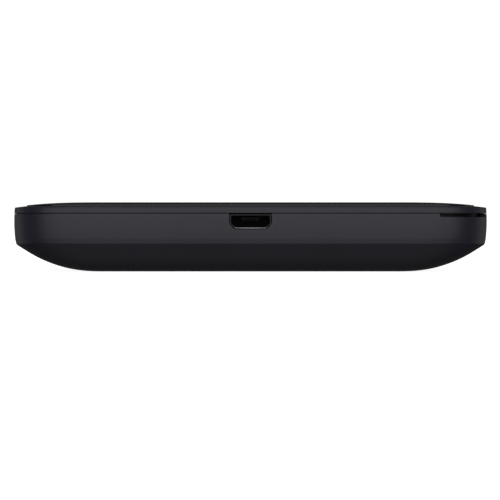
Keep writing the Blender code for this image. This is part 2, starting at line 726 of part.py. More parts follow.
def make_key(key, x, length):
    """A key cap that shows through the rim, with a flange behind the cover's wall."""
    cap_depth = KEY_FACE - FLANGE_BACK
    cap = slab(key + "_key", "key_plastic", (length, KEY_HEIGHT, cap_depth), (x, 0), 0, 0.6 * MM, 0.12 * MM)
    flange_size = (length + 2 * KEY_FLANGE_LAP, KEY_HEIGHT, KEY_FLANGE)
    nib_size = (PLUNGER_LENGTH, PLUNGER_HEIGHT, NIB_LENGTH + KEY_FLANGE / 2)
    flange = slab(key + "_flange_guide", None, flange_size, (x, 0), 0)
    nib = slab(key + "_nib_guide", None, nib_size, (x, 0), 0)
    for piece, base in ((cap, FLANGE_BACK), (flange, FLANGE_BACK), (nib, NIB_END)):
        piece.location = (x, base, KEY_MIDDLE)
        piece.rotation_euler = (-pi / 2, 0, 0)
    join(cap, flange)
    join(cap, nib)


def make_side_switch(key, x):
    """A side-pressed switch at the board's edge, and the plunger that the key pushes."""
    middle = SWITCH_FACE - SWITCH_DEPTH / 2
    size = (SWITCH_LENGTH, SWITCH_DEPTH, SWITCH_HEIGHT)
    switch = slab(key + "_switch", "switch_plastic", size, (x, middle), ON_BOARD, 0, 0.1 * MM)
    pocket_depth = 1.2 * MM
    pocket_size = (
        PLUNGER_LENGTH + 2 * SLIDE_GAP,
        2 * pocket_depth,
        PLUNGER_HEIGHT + 2 * SLIDE_GAP,
    )
    pocket_bottom = KEY_MIDDLE - pocket_size[2] / 2
    cut(switch, slab(key + "_pocket_cutter", None, pocket_size, (x, SWITCH_FACE), pocket_bottom))
    front = NIB_END - LABEL_GAP
    back = SWITCH_FACE - pocket_depth + KEY_TRAVEL + SLIDE_GAP
    plunger_size = (PLUNGER_LENGTH, front - back, PLUNGER_HEIGHT)
    plunger_bottom = KEY_MIDDLE - PLUNGER_HEIGHT / 2
    plunger_place = (x, (front + back) / 2)
    slab(key + "_switch_plunger", "frame_plastic", plunger_size, plunger_place, plunger_bottom, 0, 0.08 * MM)


def make_reset_switch():
    """A small switch under the board, reached with a pin once the cover is off."""
    bottom = UNDER_BOARD - RESET_HEIGHT
    size = (RESET_SIDE, RESET_SIDE, RESET_HEIGHT)
    switch = slab("reset_switch", "switch_plastic", size, RESET_PLACE, bottom, 0, 0.1 * MM)
    hole_depth = 1.0 * MM
    hole_radius = RESET_RADIUS + SLIDE_GAP
    hole = [(hole_radius, bottom - 1 * MM), (hole_radius, bottom + hole_depth)]
    cut(switch, turned("reset_pocket_cutter", None, hole, RESET_PLACE, 12))
    top = bottom + hole_depth - RESET_TRAVEL - SLIDE_GAP
    profile = [
        (RESET_RADIUS - 0.1 * MM, bottom - 0.35 * MM),
        (RESET_RADIUS, bottom - 0.25 * MM),
        (RESET_RADIUS, top),
    ]
    turned("reset_plunger", "frame_plastic", profile, RESET_PLACE, 12)


# Parts on the board

def make_shielded_parts():
    """Two hollow shield cans over the chips, and the power chip beside them."""
    can_front = LIGHT_Y + GUIDE_FLANGE + FIT_GAP
    can_back = SCREW_Y - BOSS_RADIUS - FIT_GAP
    can_half_y = (can_back - can_front) / 2
    can_middle_y = (can_back + can_front) / 2
    can_length = BOARD_HALF_X - 16.0 * MM
    radio_x = -BOARD_HALF_X + 3.0 * MM + can_length / 2
    processor_x = BOARD_HALF_X - 3.0 * MM - can_length / 2
    for can, x in (("radio", radio_x), ("processor", processor_x)):
        size = (can_length, 2 * can_half_y, CAN_HEIGHT)
        lid = slab(f"shield_can_{can}", "tin", size, (x, can_middle_y), ON_BOARD, 0.6 * MM, 0.1 * MM)
        hollow = (size[0] - 2 * CAN_SHEET, size[1] - 2 * CAN_SHEET, CAN_HEIGHT - CAN_SHEET + 1 * MM)
        cut(lid, slab(f"{can}_can_cutter", None, hollow, (x, can_middle_y), ON_BOARD - 1 * MM, 0.5 * MM))
    chips = (
        ("radio_chip", radio_x, 0, 8.0, 8.0),
        ("amplifier_chip", radio_x, 9.0 * MM, 5.0, 4.0),
        ("processor_chip", processor_x, 0, 10.0, 10.0),
        ("memory_chip", processor_x, 9.5 * MM, 8.0, 5.0),
        ("power_chip", 0, 8.0 * MM, 6.0, 6.0),
    )
    for name, x, y, along, across in chips:
        size = (along * MM, across * MM, CHIP_HEIGHT)
        slab(name, "chip", size, (x, y), ON_BOARD, 0, 0.08 * MM)
    pad_bottom = ON_BOARD + CAN_HEIGHT + LABEL_GAP
    pad_size = (12 * MM, 12 * MM, PLATE_BOTTOM - LABEL_GAP - pad_bottom)
    slab("thermal_pad", "foam", pad_size, (processor_x, 2.0 * MM), pad_bottom, 0.5 * MM)


def make_antennas():
    """A plastic carrier with a foil antenna at each end, fed by a spring on the board."""
    carrier_left = BOARD_HALF_X + 0.6 * MM
    carrier_right = FRAME_HALF_X - 0.6 * MM
    middle = (carrier_left + carrier_right) / 2
    carrier_size = (carrier_right - carrier_left, 1.15 * FRAME_HALF_Y, CARRIER_HEIGHT)
    carrier_bottom = FRAME_TOP + BOARD_GAP
    foil_bottom = carrier_bottom + CARRIER_HEIGHT + LABEL_GAP
    foil_size = (carrier_size[0] - 0.8 * MM, carrier_size[1] - 1.2 * MM, ANTENNA_FOIL)
    for name, side in (("main", 1), ("diversity", -1)):
        x = side * middle
        slab(name + "_antenna_carrier", "frame_plastic", carrier_size, (x, 0), carrier_bottom, 1 * MM, 0.2 * MM)
        foil = slab(name + "_antenna", "copper_foil", foil_size, (x, 0), foil_bottom, 0.6 * MM)
        for i, y in enumerate((-0.22, 0.0, 0.22)):
            slot_size = (0.7 * foil_size[0], 1 * MM, 1 * MM)
            slot_x = x + (-1) ** i * 0.3 * foil_size[0]
            slot_place = (slot_x, y * foil_size[1])
            cut(foil, slab(f"{name}_foil_cutter_{i + 1}", None, slot_size, slot_place, foil_bottom - 0.5 * MM))
        make_antenna_spring(name, side, foil_bottom + ANTENNA_FOIL)
    chip_size = (7 * MM, 2 * MM, 0.9 * MM)
    chip_place = (SCREW_X - BOSS_RADIUS - FIT_GAP - chip_size[0] / 2, -BOARD_HALF_Y + 2.5 * MM)
    slab("wifi_antenna", "ceramic", chip_size, chip_place, ON_BOARD, 0, 0.08 * MM)


def make_antenna_spring(name, side, foil_top):
    edge = BOARD_HALF_X
    strip = 0.15 * MM
    foot = ON_BOARD + strip / 2
    touch = foil_top + strip / 2 + LABEL_GAP
    path = [
        (edge - 2.0 * MM, foot),
        (edge - 0.9 * MM, foot),
        (edge - 0.6 * MM, foot + 0.25 * MM),
        (edge - 0.3 * MM, touch + 0.15 * MM),
        (edge + 0.3 * MM, touch + 0.4 * MM),
        (edge + 1.9 * MM, touch),
    ]
    path = [(side * x, z) for x, z in path]
    bent_strip(name + "_antenna_spring", "gold", path, 1.4 * MM, strip, 0.35 * FRAME_HALF_Y)


# Battery and card

def make_battery():
    length = BAY_RIGHT - BAY_LEFT
    height = BATTERY_TOP - BATTERY_BOTTOM
    size = (length, 2 * BAY_HALF_Y, height)
    slab("battery_pack", "battery_skin", size, (BAY_MIDDLE, 0), BATTERY_BOTTOM, BATTERY_CORNER, 0.5 * MM)
    label_size = (0.84 * length, 1.6 * BAY_HALF_Y, LABEL)
    label_bottom = BATTERY_BOTTOM - LABEL_GAP - LABEL
    slab("battery_label", "label", label_size, (BAY_MIDDLE, 0), label_bottom, 1 * MM)
    right = BAY_LEFT - FIT_GAP
    bottom = BATTERY_BOTTOM + 1.2 * MM + FIT_GAP
    block_size = (CONTACT_BLOCK_LENGTH, 2 * CONTACT_BLOCK_HALF, UNDER_BOARD - bottom)
    block_place = (right - CONTACT_BLOCK_LENGTH / 2, 0)
    block = slab("battery_contact_block", "frame_plastic", block_size, block_place, bottom, 0, 0.15 * MM)
    slot_bottom = bottom + 0.1 * block_size[2]
    slot_height = 0.55 * block_size[2]
    for i in range(3):
        y = (i - 1) * CONTACT_PITCH
        slot_size = (1.6 * MM, 1.6 * MM, slot_height)
        cut(block, slab(f"contact_slot_cutter_{i + 1}", None, slot_size, (right, y), slot_bottom))
        make_battery_contact(i, right, y, slot_bottom, slot_height)


def make_battery_contact(i, face, y, bottom, height):
    """A bow-shaped spring that stands proud of the block and bears on the battery's end."""
    strip = 0.15 * MM
    path = [
        (face - 0.6 * MM, bottom + 0.12 * height),
        (face - 0.3 * MM, bottom + 0.22 * height),
        (face + 0.1 * MM, bottom + 0.42 * height),
        (face + 0.1 * MM, bottom + 0.58 * height),
        (face - 0.3 * MM, bottom + 0.78 * height),
        (face - 0.6 * MM, bottom + 0.88 * height),
    ]
    bent_strip(f"battery_contact_{i + 1}", "gold", path, 1.1 * MM, strip, y)


def make_card():
    """A card holder open to the left, and the card that slides out of it."""
    middle = HOLDER_RIGHT - HOLDER_LENGTH / 2
    height = UNDER_BOARD - HOLDER_BOTTOM
    size = (HOLDER_LENGTH, 2 * HOLDER_HALF_Y, height)
    holder = slab("sim_holder", "steel", size, (middle, 0), HOLDER_BOTTOM, 0, 0.06 * MM)
    pocket_size = (HOLDER_LENGTH, CARD_WIDTH + 2 * SLIDE_GAP, CARD_THICKNESS + 2 * SLIDE_GAP)
    pocket_middle = middle - HOLDER_SHEET - FIT_GAP
    pocket_bottom = HOLDER_BOTTOM + HOLDER_SHEET
    cut(holder, slab("sim_pocket_cutter", None, pocket_size, (pocket_middle, 0), pocket_bottom))
    window_size = (0.55 * HOLDER_LENGTH, 0.6 * CARD_WIDTH, 1 * MM)
    cut(holder, slab("sim_window_cutter", None, window_size, (middle, 0), HOLDER_BOTTOM - 0.8 * MM))
    card_right = HOLDER_RIGHT - HOLDER_SHEET - 2 * FIT_GAP
    card_place = (card_right - CARD_LENGTH / 2, 0)
    card_size = (CARD_LENGTH, CARD_WIDTH, CARD_THICKNESS)
    slab("sim_card", "card", card_size, card_place, pocket_bottom + SLIDE_GAP, 1 * MM)


def build():
    clear_scene()
    make_rear_cover()
    make_front_housing()
    make_front_panel()
    make_light_guides()
    make_inner_frame()
    make_board()
    make_screws()
    make_usb()
    make_keys()
    make_reset_switch()
    make_shielded_parts()
    make_antennas()
    make_battery()
    make_card()


build()
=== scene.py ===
# %% [markdown]
# A pocket hotspot, dressed around its CAD frame. The frame gives every solid its place and its
# motion, and this script gives the solids their finishes and the case its fine surfaces.
# All sizes are metres. The case lies on its back, its receptacle towards -Y and its face up.

# %% Load the frame
from math import cos, pi, radians, sin, sqrt, tan

import bmesh
import bpy
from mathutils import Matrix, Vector


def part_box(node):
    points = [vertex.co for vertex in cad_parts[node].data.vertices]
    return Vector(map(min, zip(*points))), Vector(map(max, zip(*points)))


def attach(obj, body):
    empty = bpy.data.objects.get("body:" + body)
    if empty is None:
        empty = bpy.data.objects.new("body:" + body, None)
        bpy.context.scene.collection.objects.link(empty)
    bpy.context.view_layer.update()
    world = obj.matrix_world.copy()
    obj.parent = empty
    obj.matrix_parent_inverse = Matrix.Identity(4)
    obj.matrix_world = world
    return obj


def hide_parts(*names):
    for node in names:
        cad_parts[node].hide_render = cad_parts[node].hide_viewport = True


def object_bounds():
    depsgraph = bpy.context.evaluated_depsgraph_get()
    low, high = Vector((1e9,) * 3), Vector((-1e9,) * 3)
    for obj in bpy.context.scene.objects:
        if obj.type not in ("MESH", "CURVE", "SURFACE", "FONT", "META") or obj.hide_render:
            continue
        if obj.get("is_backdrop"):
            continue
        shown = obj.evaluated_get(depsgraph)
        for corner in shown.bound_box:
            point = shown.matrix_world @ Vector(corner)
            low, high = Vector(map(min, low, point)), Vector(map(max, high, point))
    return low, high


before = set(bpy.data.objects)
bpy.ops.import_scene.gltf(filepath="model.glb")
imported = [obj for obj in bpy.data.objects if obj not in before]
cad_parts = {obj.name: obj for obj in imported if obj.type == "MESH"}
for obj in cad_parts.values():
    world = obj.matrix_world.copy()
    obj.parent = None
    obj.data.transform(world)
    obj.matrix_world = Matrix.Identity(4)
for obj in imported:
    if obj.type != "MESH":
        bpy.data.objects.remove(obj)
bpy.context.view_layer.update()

MM = 0.001
scene = bpy.context.scene

# %% [markdown]
# The camera looks straight at the long side from about a forearm's length, a little below the top
# of the case. So near a lens shows the crowned front and the curved underside at once, each as a
# thin strip, which a distant camera would flatten. It tilts down by less than a degree.

# %% Camera
LENS = 125.2
CAMERA_BACK = 340 * MM
CAMERA_HEIGHT = 8.85 * MM
CAMERA_TILT = radians(0.718)
CAMERA_ASIDE = -0.1 * MM

lens = bpy.data.cameras.new("camera")
lens.lens = LENS
lens.sensor_width = 36
lens.clip_start = 0.01
camera = bpy.data.objects.new("camera", lens)
camera.location = (CAMERA_ASIDE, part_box("rear_cover")[0].y - CAMERA_BACK, CAMERA_HEIGHT)
camera.rotation_euler = (pi / 2 - CAMERA_TILT, 0, 0)
scene.collection.objects.link(camera)
scene.camera = camera
scene.view_settings.view_transform = "Standard"
print("camera at", [round(value, 4) for value in camera.location])

# %% [markdown]
# A dark satin case is drawn by what it mirrors, so the studio matters more than the plastic's
# colour. One wide softbox stands behind the camera and fills the front wall. The room around is
# dim, which lets the corners and the underside fall away into black. A weak apron under the
# front box lifts the slope below the crease, and softer boxes above and behind light the face
# and the ends. No lamp shows itself to the camera.

# %% Studio lamps
def softbox(name, radiance, width, height, place, aim):
    """A rectangular lamp with a given brightness per area, pointed from `place` at `aim`."""
    lamp = bpy.data.lights.new(name, "AREA")
    lamp.shape = "RECTANGLE"
    lamp.size = width
    lamp.size_y = height
    lamp.energy = radiance * pi * width * height
    box = bpy.data.objects.new(name, lamp)
    box.location = place
    box.rotation_euler = (Vector(aim) - Vector(place)).to_track_quat("-Z", "Y").to_euler()
    box.visible_camera = False
    scene.collection.objects.link(box)
    return box


MIDDLE = (0, 0, 0.007)
softbox("front_box", 1.06, 2.26, 0.66, (0, -0.5, 0.20), (0, 0, 0.20))
softbox("apron", 0.18, 2.0, 0.3, (0, -0.5, -0.3), (0, 0, -0.3))
softbox("top_box", 0.7, 0.9, 0.6, (0.1, 0.1, 0.9), MIDDLE)
for side in (-1, 1):
    softbox("back_box", 0.21, 0.5, 0.7, (side * 0.75, 0.55, 0.05), MIDDLE)
print("lamps:", [lamp.name for lamp in bpy.data.lights])

# %% [markdown]
# The room itself is a world shader: white where the camera looks past the object, and a dim
# grey for everything that the object mirrors. Three soft bands are added to the grey by height:
# the pale ground straight below, which lifts the sloping flank a little, a far skyline, which
# draws a lighter edge along the underside and the ends, and a brighter sky overhead.

# %% Room
ROOM_GREY = 0.031
CELLAR_GREY = 0.012
GROUND_GLOW = 0.16
SKYLINE_GLOW = 0.055
SKY_GLOW = 0.11
room = bpy.data.worlds.new("room")
room.use_nodes = True
tree = room.node_tree
tree.nodes.clear()


def room_node(kind, **values):
    made = tree.nodes.new(kind)
    for key, value in values.items():
        setattr(made, key, value)
    return made


def room_band(coordinate, start, end, top):
    """A smooth step of the world's brightness between two values of a coordinate."""
    step = room_node("ShaderNodeMapRange", interpolation_type="SMOOTHSTEP")
    step.inputs["From Min"].default_value = start
    step.inputs["From Max"].default_value = end
    step.inputs["To Min"].default_value = 0.0
    step.inputs["To Max"].default_value = top
    tree.links.new(coordinate, step.inputs["Value"])
    return step.outputs["Result"]


def room_sum(operation, first, second):
    made = room_node("ShaderNodeMath", operation=operation)
    tree.links.new(first, made.inputs[0])
    if isinstance(second, float):
        made.inputs[1].default_value = second
    else:
        tree.links.new(second, made.inputs[1])
    return made.outputs["Value"]


direction = room_node("ShaderNodeTexCoord")
axes = room_node("ShaderNodeSeparateXYZ")
tree.links.new(direction.outputs["Generated"], axes.inputs[0])
height = axes.outputs["Z"]
ground = room_band(height, -0.6, -0.92, GROUND_GLOW)
rising = room_band(height, -0.50, -0.28, 1.0)
falling = room_band(height, 0.10, 0.03, SKYLINE_GLOW)
skyline = room_sum("MULTIPLY", rising, falling)
upper = room_band(height, -0.2, 0.0, ROOM_GREY - CELLAR_GREY)
sky = room_band(height, 0.40, 0.85, SKY_GLOW)
low_glow = room_sum("ADD", room_sum("ADD", ground, skyline), CELLAR_GREY)
glow = room_sum("ADD", room_sum("ADD", upper, sky), low_glow)
dim = room_node("ShaderNodeBackground")
dim.inputs["Color"].default_value = (1, 1, 1, 1)
tree.links.new(glow, dim.inputs["Strength"])
white = room_node("ShaderNodeBackground")
white.inputs["Color"].default_value = (1, 1, 1, 1)
white.inputs["Strength"].default_value = 1.05
rays = room_node("ShaderNodeLightPath")
choice = room_node("ShaderNodeMixShader")
tree.links.new(rays.outputs["Is Camera Ray"], choice.inputs[0])
tree.links.new(dim.outputs[0], choice.inputs[1])
tree.links.new(white.outputs[0], choice.inputs[2])
surface = room_node("ShaderNodeOutputWorld")
tree.links.new(choice.outputs[0], surface.inputs["Surface"])
scene.world = room
print("room grey", ROOM_GREY, "ground", GROUND_GLOW, "skyline", SKYLINE_GLOW, "sky", SKY_GLOW)

# %% [markdown]
# The floor is a wide pale sheet. It glows a little by itself, so that it melts into the
# background, and it throws no light back, because the dark underside would turn grey.
# A large disc from one circle fan is enough, since it is flat.

# %% Floor
FLOOR_RADIUS = 6.0
bm = bmesh.new()
bmesh.ops.create_circle(bm, cap_ends=True, segments=64, radius=FLOOR_RADIUS)
bmesh.ops.translate(bm, vec=(0, 0, -0.02 * MM), verts=bm.verts)
mesh = bpy.data.meshes.new("floor")
bm.to_mesh(mesh)
bm.free()
floor = bpy.data.objects.new("floor", mesh)
scene.collection.objects.link(floor)
paper = bpy.data.materials.new("floor_paper")
paper.use_nodes = True
shader = paper.node_tree.nodes["Principled BSDF"]
shader.inputs["Base Color"].default_value = (0.9, 0.9, 0.9, 1)
shader.inputs["Roughness"].default_value = 0.9
shader.inputs["Specular IOR Level"].default_value = 0.0
shader.inputs["Emission Color"].default_value = (1, 1, 1, 1)
links = paper.node_tree.links
where = paper.node_tree.nodes.new("ShaderNodeTexCoord")
reach = paper.node_tree.nodes.new("ShaderNodeVectorMath")
reach.operation = "LENGTH"
links.new(where.outputs["Object"], reach.inputs[0])
fade = paper.node_tree.nodes.new("ShaderNodeMapRange")
fade.interpolation_type = "SMOOTHSTEP"
fade.inputs["From Min"].default_value = 0.03
fade.inputs["From Max"].default_value = 0.25
fade.inputs["To Min"].default_value = 0.93
fade.inputs["To Max"].default_value = 1.05
links.new(reach.outputs["Value"], fade.inputs["Value"])
links.new(fade.outputs["Result"], shader.inputs["Emission Strength"])
mesh.materials.append(paper)
floor.visible_diffuse = False
floor.visible_glossy = False
floor.visible_shadow = False
floor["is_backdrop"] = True
print("floor radius", FLOOR_RADIUS)

# %% [markdown]
# Every finish is a node material on Object coordinates. These few helpers add one pattern each:
# a noise, a blotchy colour between two shades, a roughness that wanders between two values, and
# a bump. Reading Object coordinates keeps a pattern at its real scale on every piece, because
# each piece sits at the origin with its place in its mesh.

# %% Helpers for finishes
FINISHES = {}


def finish(name, colour, roughness, metallic=0.0, specular=0.5):
    """A new material with its plain values set straight on the shader."""
    made = bpy.data.materials.new(name + "_finish")
    made.use_nodes = True
    shader = made.node_tree.nodes["Principled BSDF"]
    shader.inputs["Base Color"].default_value = (*colour, 1)
    shader.inputs["Roughness"].default_value = roughness
    shader.inputs["Metallic"].default_value = metallic
    shader.inputs["Specular IOR Level"].default_value = specular
    made.diffuse_color = (*colour, 1)
    FINISHES[name] = made
    return made


def add_node(material, kind, sources=(), **values):
    """Add a node, set its properties, and link (socket, output) pairs into it."""
    made = material.node_tree.nodes.new(kind)
    for key, value in values.items():
        setattr(made, key, value)
    for socket, output in sources:
        material.node_tree.links.new(output, made.inputs[socket])
    return made


def place(material, stretch=(1, 1, 1), turn=0.0, shift=(0, 0, 0)):
    """Object coordinates, stretched, turned about Z and shifted."""
    where = add_node(material, "ShaderNodeTexCoord")
    mapping = add_node(material, "ShaderNodeMapping", [("Vector", where.outputs["Object"])])
    mapping.inputs["Scale"].default_value = stretch
    mapping.inputs["Rotation"].default_value = (0, 0, turn)
    mapping.inputs["Location"].default_value = shift
    return mapping.outputs["Vector"]


def noise(material, size, detail=3.0, stretch=(1, 1, 1), turn=0.0):
    """Noise with blobs of about `size` metres."""
    made = add_node(material, "ShaderNodeTexNoise", [("Vector", place(material, stretch, turn))])
    made.inputs["Scale"].default_value = 1 / size
    made.inputs["Detail"].default_value = detail
    return made.outputs["Fac"]


def grains(material, size, feature="F1", stretch=(1, 1, 1)):
    """Voronoi cells of about `size` metres."""
    vector = [("Vector", place(material, stretch))]
    made = add_node(material, "ShaderNodeTexVoronoi", vector, feature=feature)
    made.inputs["Scale"].default_value = 1 / size
    return made.outputs["Distance"]


def spread(material, value, low, high, start=0.3, end=0.7):
    """Map a pattern's start..end range onto low..high."""
    made = add_node(material, "ShaderNodeMapRange", [("Value", value)])
    made.inputs["From Min"].default_value = start
    made.inputs["From Max"].default_value = end
    made.inputs["To Min"].default_value = low
    made.inputs["To Max"].default_value = high
    return made.outputs["Result"]


def shader_of(material):
    return material.node_tree.nodes["Principled BSDF"]


def blotch(material, value, dark, light, start=0.3, end=0.7):
    """Colour the surface between two shades by a pattern, and return the colour output."""
    ramp = add_node(material, "ShaderNodeValToRGB", [("Fac", value)])
    ramp.color_ramp.elements[0].position = start
    ramp.color_ramp.elements[0].color = (*dark, 1)
    ramp.color_ramp.elements[1].position = end
    ramp.color_ramp.elements[1].color = (*light, 1)
    paint(material, ramp.outputs["Color"])
    return ramp.outputs["Color"]


def paint(material, colour):
    material.node_tree.links.new(colour, shader_of(material).inputs["Base Color"])


def blend_colour(material, factor, under, over):
    """Lay `over`, a plain colour, on the colour output `under` where factor is 1."""
    mix = add_node(material, "ShaderNodeMix", [("Factor", factor)], data_type="RGBA")
    lower, upper = [socket for socket in mix.inputs if socket.type == "RGBA"]
    material.node_tree.links.new(under, lower)
    upper.default_value = (*over, 1)
    result = next(socket for socket in mix.outputs if socket.type == "RGBA")
    paint(material, result)
    return result


def rough(material, value):
    material.node_tree.links.new(value, shader_of(material).inputs["Roughness"])


def emboss(material, value, depth, strength=1.0):
    """Raise the surface by a pattern, on top of any bump it already has."""
    bump = add_node(material, "ShaderNodeBump", [("Height", value)])
    bump.inputs["Strength"].default_value = strength
    bump.inputs["Distance"].default_value = depth
    socket = shader_of(material).inputs["Normal"]
    if socket.is_linked:
        earlier = socket.links[0].from_socket
        material.node_tree.links.new(earlier, bump.inputs["Normal"])
    material.node_tree.links.new(bump.outputs["Normal"], socket)


def combine(material, operation, first, second):
    """Join two values, or a value and a number, by arithmetic."""
    made = add_node(material, "ShaderNodeMath", operation=operation)
    for slot_number, value in enumerate((first, second)):
        if isinstance(value, (int, float)):
            made.inputs[slot_number].default_value = value
        else:
            material.node_tree.links.new(value, made.inputs[slot_number])
    return made.outputs["Value"]


def band(material, axis, centre, reach):
    """1 where the coordinate is at `centre`, falling to 0 at `reach` from it."""
    where = add_node(material, "ShaderNodeTexCoord")
    split = add_node(material, "ShaderNodeSeparateXYZ", [("Vector", where.outputs["Object"])])
    offset = combine(material, "SUBTRACT", split.outputs[axis], centre)
    distance = combine(material, "ABSOLUTE", offset, 0.0)
    return spread(material, distance, 1.0, 0.0, 0.0, reach)


print("finishes to start with:", len(FINISHES))


# %% [markdown]
# The case is a mid-black satin plastic with a faint violet cast. The mould is spark-eroded,
# which leaves a grain about as fine as paper. Handling polishes the crease under the side wall
# first, so that band is a touch smoother. The bump stays very small, because a deep grain would
# sparkle at this distance. Below the seam the housing gets painted shade: its colour is painted
# near black and its reflections are turned down, to stand for the shadow in the recesses there.

# %% Case and key plastic
CREASE_HEIGHT = 5.6 * MM
PAINTED_SHADE_REACH = 5 * MM


def satin(name):
    """The case's satin plastic, cloudy, finely grained, and polished along the crease."""
    made = finish(name, (0.014, 0.0128, 0.0232), 0.4)
    fine = noise(made, 0.22 * MM, 2)
    shade = blotch(made, noise(made, 18 * MM, 4), (0.0130, 0.0118, 0.0215), (0.0152, 0.0138, 0.0250))
    worn = band(made, "Z", CREASE_HEIGHT, 0.9 * MM)
    patchy = combine(made, "MULTIPLY", worn, spread(made, noise(made, 3 * MM), 0.2, 1.0))
    polish = combine(made, "MULTIPLY", patchy, 0.05)
    rough(made, combine(made, "SUBTRACT", spread(made, fine, 0.37, 0.45), polish))
    emboss(made, fine, 0.004 * MM, 0.5)
    emboss(made, noise(made, 7 * MM, 2), 0.02 * MM, 0.25)
    return made, shade


satin("case_plastic")
housing_finish, housing_tone = satin("housing_plastic")
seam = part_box("rear_cover")[1].z
# Painted shade: below the seam the housing's colour is painted near black and its reflections are turned
# down.
inside = band(housing_finish, "Z", seam - PAINTED_SHADE_REACH, PAINTED_SHADE_REACH)
painted_shade_mask = spread(housing_finish, inside, 0.0, 1.0, 0.0, 0.01)
blend_colour(housing_finish, painted_shade_mask, housing_tone, (0.004, 0.004, 0.005))
dull = spread(housing_finish, painted_shade_mask, 0.5, 0.12, 0.0, 1.0)
housing_finish.node_tree.links.new(dull, shader_of(housing_finish).inputs["Specular IOR Level"])

keys = finish("key_plastic", (0.02, 0.019, 0.026), 0.34)
blotch(keys, noise(keys, 4 * MM), (0.018, 0.017, 0.024), (0.024, 0.022, 0.030))
rough(keys, spread(keys, noise(keys, 1.5 * MM, 4), 0.28, 0.40))
emboss(keys, noise(keys, 0.18 * MM, 2), 0.003 * MM, 0.5)
print("plastics:", sorted(FINISHES), "dull below", round(seam / MM, 2), "mm")

# %% [markdown]
# The face is polished black: deep colour, a low roughness with cloudy patches where fingers have
# been, and hair-fine scratches. Scratches are a noise that is stretched far along one direction,
# laid twice at different angles.

# %% Polished face
gloss = finish("panel_gloss", (0.006, 0.006, 0.0075), 0.16)
blotch(gloss, noise(gloss, 25 * MM, 3), (0.0052, 0.0052, 0.0065), (0.0075, 0.0074, 0.0090))
smears = spread(gloss, noise(gloss, 14 * MM, 5), 0.12, 0.22)
hair = noise(gloss, 0.5 * MM, 2, (1, 0.02, 1), radians(28))
hair_across = noise(gloss, 0.6 * MM, 2, (0.02, 1, 1), radians(15))
marks = combine(gloss, "MAXIMUM", hair, hair_across)
rough(gloss, combine(gloss, "ADD", smears, spread(gloss, marks, 0.0, 0.06, 0.62, 0.8)))
emboss(gloss, marks, 0.0006 * MM, 0.3)
print("finishes so far:", sorted(FINISHES))

# %% [markdown]
# Metals: the receptacle's shell is nickel-plated steel with drawing lines along its depth, the
# shield cans are dull tin with rolling lines, the contacts are gold flashed, and the antennas
# are copper foil. Each gets a stretched noise for its lines, and a slower one for its stains.
# The shell's plating is dark, and a painted highlight lightens it along the lower lip. The gold in
# the receptacle is painted nearly black, as painted shade deep in its mouth.

# %% Metals
def metal(name, dark, light, low, high, stretch, stain):
    made = finish(name, light, (low + high) / 2, 1.0)
    blotch(made, noise(made, stain, 4), dark, light)
    lines = noise(made, 0.35 * MM, 3, stretch)
    rough(made, spread(made, lines, low, high))
    emboss(made, lines, 0.002 * MM, 0.4)
    emboss(made, noise(made, 2.5 * MM, 2), 0.01 * MM, 0.2)
    return made


metal("steel", (0.44, 0.44, 0.45), (0.62, 0.62, 0.63), 0.22, 0.38, (1, 0.08, 1), 5 * MM)
metal("tin", (0.48, 0.48, 0.46), (0.66, 0.66, 0.64), 0.30, 0.46, (0.06, 1, 1), 8 * MM)
nickel = metal("dark_nickel", (0.030, 0.030, 0.033), (0.046, 0.046, 0.050), 0.34, 0.5, (1, 0.08, 1), 4 * MM)
stained = shader_of(nickel).inputs["Base Color"].links[0].from_socket
# Painted highlight: a bright band of colour is painted along the shell's lower lip, across a plug's width.
lower_lip = band(nickel, "Z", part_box("usb_shell")[0].z, 0.3 * MM)
highlight_width = spread(nickel, band(nickel, "X", 0.0, 4.2 * MM), 0.35, 1.0, 0.0, 0.8)
painted_lip_highlight = combine(nickel, "MULTIPLY", lower_lip, highlight_width)
blend_colour(nickel, painted_lip_highlight, stained, (0.50, 0.50, 0.51))
metal("gold", (0.62, 0.42, 0.14), (0.80, 0.60, 0.26), 0.20, 0.34, (1, 0.1, 1), 3 * MM)
# Painted shade: the receptacle's gold contacts are painted nearly black, for the shadow deep in its mouth.
metal("gold_in_painted_shade", (0.020, 0.016, 0.008), (0.050, 0.040, 0.020), 0.5, 0.7, (1, 0.1, 1), 1 * MM)
metal("copper_foil", (0.52, 0.25, 0.13), (0.75, 0.42, 0.26), 0.28, 0.44, (0.1, 1, 1), 4 * MM)
print("finishes with metals:", len(FINISHES))

# %% [markdown]
# Inside plastics are plainer mouldings. The frame shows flow lines from its gate, the switches
# are cream nylon, chips are black moulding compound with a sandy skin, and the light guides are
# milky.

# %% Inside plastics
def moulding(name, dark, light, low, high, grain, depth, flow=(1, 0.25, 1)):
    made = finish(name, light, (low + high) / 2)
    blotch(made, noise(made, 9 * MM, 4, flow), dark, light)
    skin = noise(made, grain, 3)
    rough(made, spread(made, skin, low, high))
    emboss(made, skin, depth, 0.6)
    return made


moulding("frame_plastic", (0.012, 0.012, 0.013), (0.022, 0.022, 0.024), 0.45, 0.62, 0.3 * MM, 0.006 * MM)
moulding("socket_black", (0.002, 0.002, 0.002), (0.004, 0.004, 0.004), 0.6, 0.8, 0.3 * MM, 0.004 * MM)
shader_of(FINISHES["socket_black"]).inputs["Specular IOR Level"].default_value = 0.1
moulding("switch_plastic", (0.50, 0.46, 0.38), (0.62, 0.58, 0.50), 0.42, 0.58, 0.4 * MM, 0.004 * MM)
moulding("chip", (0.012, 0.012, 0.013), (0.024, 0.024, 0.025), 0.48, 0.66, 0.12 * MM, 0.004 * MM)
moulding("ceramic", (0.58, 0.56, 0.50), (0.74, 0.72, 0.66), 0.38, 0.55, 0.15 * MM, 0.003 * MM)
moulding("light_guide", (0.70, 0.73, 0.76), (0.84, 0.86, 0.88), 0.16, 0.28, 0.5 * MM, 0.002 * MM)
